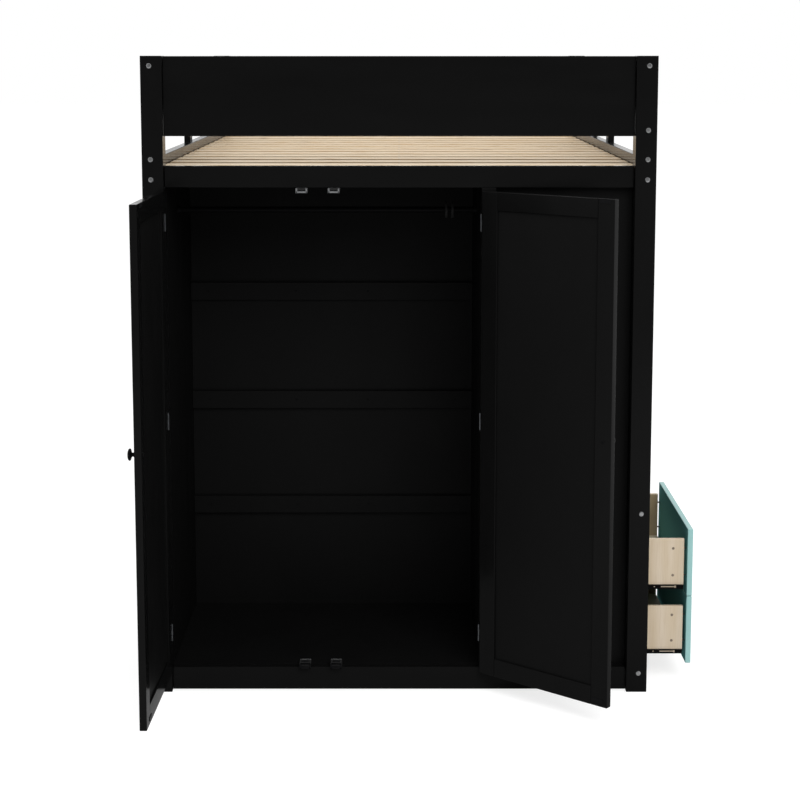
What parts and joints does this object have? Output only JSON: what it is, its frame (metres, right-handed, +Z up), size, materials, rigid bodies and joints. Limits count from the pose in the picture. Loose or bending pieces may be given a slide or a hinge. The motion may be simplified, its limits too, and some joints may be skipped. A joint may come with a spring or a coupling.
{
  "type": "loft bed frame",
  "caption": "High loft bed frame with slats, a hinged-door wardrobe in its end, pull-out drawers in its side and a ladder.",
  "frame": {"origin": "middle of the bounding box on the floor, with the doors and drawers open as drawn", "axes": "+Z up; -Y towards the wardrobe end; +X towards the side with the drawers and ladder"},
  "size_m": [1.611, 2.4468, 1.85],
  "materials": {
    "black_paint": "satin black paint on wood",
    "pine": "clear satin lacquer on pine",
    "teal_paint": "satin teal paint on fibreboard",
    "zinc_steel": "zinc plated",
    "runner_steel": "black powder coat",
    "knob_black": "satin black paint"
  },
  "bodies": {
    "bedstead": {"front_left_post": "black_paint", "front_right_post": "black_paint", "rear_left_post": "black_paint", "rear_right_post": "black_paint", "front_end_board": "black_paint", "rear_end_board": "black_paint", "front_end_rail": "black_paint", "rear_end_rail": "black_paint", "front_bottom_rail": "black_paint", "rear_bottom_rail": "black_paint", "left_side_rail": "black_paint", "right_side_rail": "black_paint", "left_guard_board": "black_paint", "right_guard_board": "black_paint", "guard_battens": "black_paint", "slat_bearers": "pine", "slats": "pine", "left_inner_post": "black_paint", "right_inner_post": "black_paint", "wardrobe_floor": "black_paint", "wardrobe_top": "black_paint", "wardrobe_left_wall": "black_paint", "wardrobe_divider": "black_paint", "wardrobe_back": "black_paint", "back_battens": "black_paint", "front_stile": "black_paint", "recessed_panel": "black_paint", "tower_far_wall": "black_paint", "tower_shelves": "black_paint", "drawer_rails": "black_paint", "floor_rails": "black_paint", "hanging_rod": "runner_steel", "rod_sockets": "runner_steel", "rod_collars": "runner_steel", "frame_bolts": "zinc_steel", "magnetic_catches": "zinc_steel", "frame_hinge_leaves": "zinc_steel", "cabinet_runners": "runner_steel", "ladder_stiles": "black_paint", "ladder_rungs": "black_paint"},
    "left_door": {"left_door_frame": "black_paint", "left_door_panel": "black_paint", "left_door_hardware": "zinc_steel", "left_door_knob": "knob_black"},
    "right_door": {"right_door_frame": "black_paint", "right_door_panel": "black_paint", "right_door_hardware": "zinc_steel", "right_door_knob": "knob_black"},
    "upper_drawer": {"upper_drawer_front": "teal_paint", "upper_drawer_box": "pine", "upper_drawer_bottom": "pine", "upper_drawer_cams": "zinc_steel", "upper_drawer_knob": "knob_black", "upper_drawer_runners": "runner_steel"},
    "lower_drawer": {"lower_drawer_front": "teal_paint", "lower_drawer_box": "pine", "lower_drawer_bottom": "pine", "lower_drawer_cams": "zinc_steel", "lower_drawer_knob": "knob_black", "lower_drawer_runners": "runner_steel"}
  },
  "joints": [
    {"name": "left_door_hinge", "type": "hinge", "parent": "bedstead", "child": "left_door", "pos_m": [-0.7415, -0.77809, 0.809], "axis": [0, 0, 1], "range_deg": [-2, 91.4]},
    {"name": "right_door_hinge", "type": "hinge", "parent": "bedstead", "child": "right_door", "pos_m": [0.1525, -0.77809, 0.809], "axis": [0, 0, 1], "range_deg": [-140, 4]},
    {"name": "upper_drawer_slide", "type": "slide", "parent": "bedstead", "child": "upper_drawer", "axis": [1, 0, 0], "range_m": [-0.1355, 0.1645]},
    {"name": "lower_drawer_slide", "type": "slide", "parent": "bedstead", "child": "lower_drawer", "axis": [1, 0, 0], "range_m": [-0.1355, 0.1645]}
  ]
}
